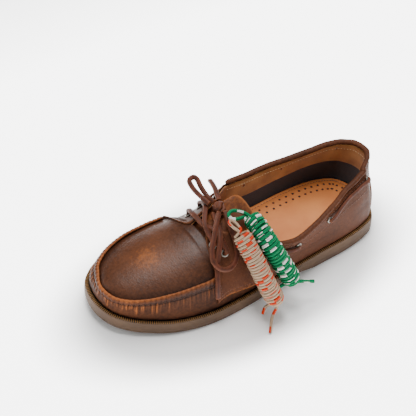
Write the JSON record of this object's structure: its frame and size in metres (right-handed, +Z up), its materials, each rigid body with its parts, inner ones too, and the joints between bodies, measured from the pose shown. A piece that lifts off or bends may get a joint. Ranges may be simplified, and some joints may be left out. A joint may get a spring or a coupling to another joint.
{
  "type": "boat shoe",
  "caption": "Left leather boat shoe with a raised moccasin seam, laced throat, side lacing, rubber unit sole and spare laces tied on.",
  "frame": {"origin": "on the floor, under the middle of the outsole's outline", "axes": "+X towards the toe, +Y towards the outer side of the left foot, +Z up"},
  "size_m": [0.2882, 0.147, 0.0933],
  "materials": {
    "leather": "waxed brown leather with burnished edges",
    "lining": "golden tan suede",
    "rubber": "matt grey-brown moulded rubber",
    "footbed": "smooth tan leather, perforated",
    "lace": "matt reddish brown rawhide",
    "metal": "nickel plated, aged",
    "green": "woven green cord with white flecks",
    "beige": "woven beige cord with orange flecks"
  },
  "bodies": {
    "root": {"outsole": "rubber", "insole": "footbed", "upper": "leather", "quarter_outer": "leather", "quarter_inner": "leather", "moc_seam": "leather", "heel_patch": "leather", "collar_roll": "leather", "tongue": "leather", "eyelet_outer_front": "metal", "eyelet_outer_rear": "metal", "eyelet_inner_front": "metal", "eyelet_inner_rear": "metal", "side_eyelet_outer_1": "metal", "side_eyelet_outer_2": "metal", "side_eyelet_outer_3": "metal", "side_eyelet_inner_1": "metal", "side_eyelet_inner_2": "metal", "side_eyelet_inner_3": "metal", "lace_bars": "lace", "lace_run_outer_front": "lace", "lace_run_inner_front": "lace", "lace_run_outer_rear": "lace", "lace_run_inner_rear": "lace", "lace_knot": "lace", "lace_loop_outer": "lace", "lace_loop_inner": "lace", "lace_end": "lace", "lace_tip": "lace", "green_hank": "green", "green_top_loop": "green", "green_front_end": "green", "green_rear_end": "green", "beige_hank": "beige", "beige_top_loop": "beige", "beige_short_end": "beige", "beige_long_end": "beige"}
  },
  "joints": []
}
